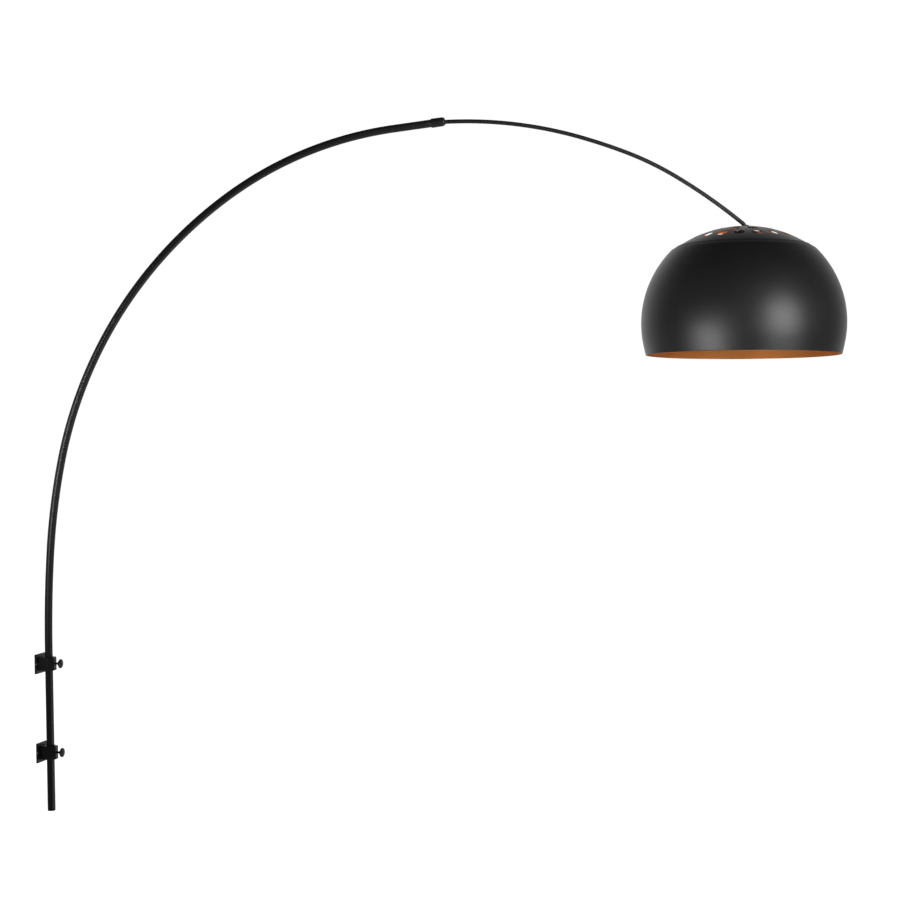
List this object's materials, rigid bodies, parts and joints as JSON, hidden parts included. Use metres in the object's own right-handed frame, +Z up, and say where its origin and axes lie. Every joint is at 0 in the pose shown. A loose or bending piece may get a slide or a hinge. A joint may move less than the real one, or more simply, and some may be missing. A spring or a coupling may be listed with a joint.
{
  "type": "arc wall lamp",
  "caption": "Arc wall lamp: a clamped upright tube bends over in a long arc, a slim rod slides out of it and carries a tilting dome shade with a perforated cap.",
  "frame": {"origin": "on the wall plane, in the middle of the four screw holes of the two wall plates", "axes": "+X out of the wall, +Z up along the upright tube, +Y sideways along the wall; at rest the arm is swung 15 degrees from +X towards +Y"},
  "size_m": [1.5278, 0.5666, 1.3297],
  "materials": {
    "black_coat": "satin",
    "shade_coat": "satin outside, copper-coloured inside",
    "cap_coat": "satin outside, copper-coloured inside",
    "black_steel": "black oxide",
    "zinc": "zinc plated",
    "brass": "plain",
    "black_plastic": "moulded",
    "nylon": "moulded",
    "ceramic": "glazed",
    "flex": "matt sheath"
  },
  "bodies": {
    "root": {"wall_plate_upper": "black_coat", "wall_plate_lower": "black_coat", "clamp_block_upper": "black_coat", "clamp_block_lower": "black_coat", "block_screws_upper": "zinc", "block_screws_lower": "zinc"},
    "upper_pad": {"pressure_pad_upper": "brass"},
    "upper_knob": {"thumb_screw_upper": "black_steel", "thumb_knob_upper": "black_coat"},
    "lower_pad": {"pressure_pad_lower": "brass"},
    "lower_knob": {"thumb_screw_lower": "black_steel", "thumb_knob_lower": "black_coat"},
    "foot": {"foot_bush": "black_plastic"},
    "arm": {"main_tube": "black_coat", "tube_end_ferrule": "brass", "clamping_ring": "nylon", "flex_in_tube": "flex"},
    "nut": {"lock_nut": "black_coat"},
    "rod": {"telescoping_rod": "black_coat", "rod_end_liner": "nylon", "knuckle_barrel": "black_steel", "knuckle_pins": "black_steel", "flex_in_rod": "flex"},
    "head": {"tilt_yoke": "black_steel", "friction_washers": "nylon", "perforated_cap": "cap_coat", "cap_screws": "black_steel", "lower_dome": "shade_coat", "holder_nipple": "zinc", "nipple_lock_nut": "zinc", "knuckle_cup": "black_coat", "holder_cover": "black_plastic", "holder_body": "black_plastic", "holder_ring": "black_plastic", "holder_insulator": "ceramic", "thread_shell": "brass", "centre_contact": "brass", "terminal_screws": "brass", "flex_tail": "flex"}
  },
  "joints": [
    {"name": "upper_clamp", "type": "slide", "parent": "root", "child": "upper_pad", "axis": [1, 0, 0], "range_m": [0, 0.0021]},
    {"name": "upper_knob_turn", "type": "hinge", "parent": "upper_pad", "child": "upper_knob", "pos_m": [0.04, 0, 0.086], "axis": [1, 0, 0], "range_deg": [0, 1081]},
    {"name": "lower_clamp", "type": "slide", "parent": "root", "child": "lower_pad", "axis": [1, 0, 0], "range_m": [0, 0.0021]},
    {"name": "lower_knob_turn", "type": "hinge", "parent": "lower_pad", "child": "lower_knob", "pos_m": [0.04, 0, -0.086], "axis": [1, 0, 0], "range_deg": [0, 1081]},
    {"name": "arm_height", "type": "slide", "parent": "root", "child": "foot", "axis": [0, 0, 1], "range_m": [-0.033, 0.085]},
    {"name": "arm_swing", "type": "hinge", "parent": "foot", "child": "arm", "pos_m": [0.0205, 0, 0], "axis": [0, 0, 1], "range_deg": [-95, 65]},
    {"name": "nut_turn", "type": "hinge", "parent": "arm", "child": "nut", "pos_m": [0.76598, 0.19975, 1.12084], "axis": [0.9585, 0.2568, 0.1235], "range_deg": [-360, 0]},
    {"name": "rod_extend", "type": "hinge", "parent": "arm", "child": "rod", "pos_m": [0.80725, 0.21081, 0.31887], "axis": [-0.2588, 0.9659, 0], "range_deg": [-8.9, 5]},
    {"name": "shade_tilt", "type": "hinge", "parent": "rod", "child": "head", "pos_m": [1.3383, 0.3531, 0.88813], "axis": [-0.2588, 0.9659, 0], "range_deg": [-25, 14]}
  ],
  "couplings": [
    {"joint": "upper_knob_turn", "follows": "upper_clamp", "rad_per_m": 8976},
    {"joint": "lower_knob_turn", "follows": "lower_clamp", "rad_per_m": 8976}
  ]
}
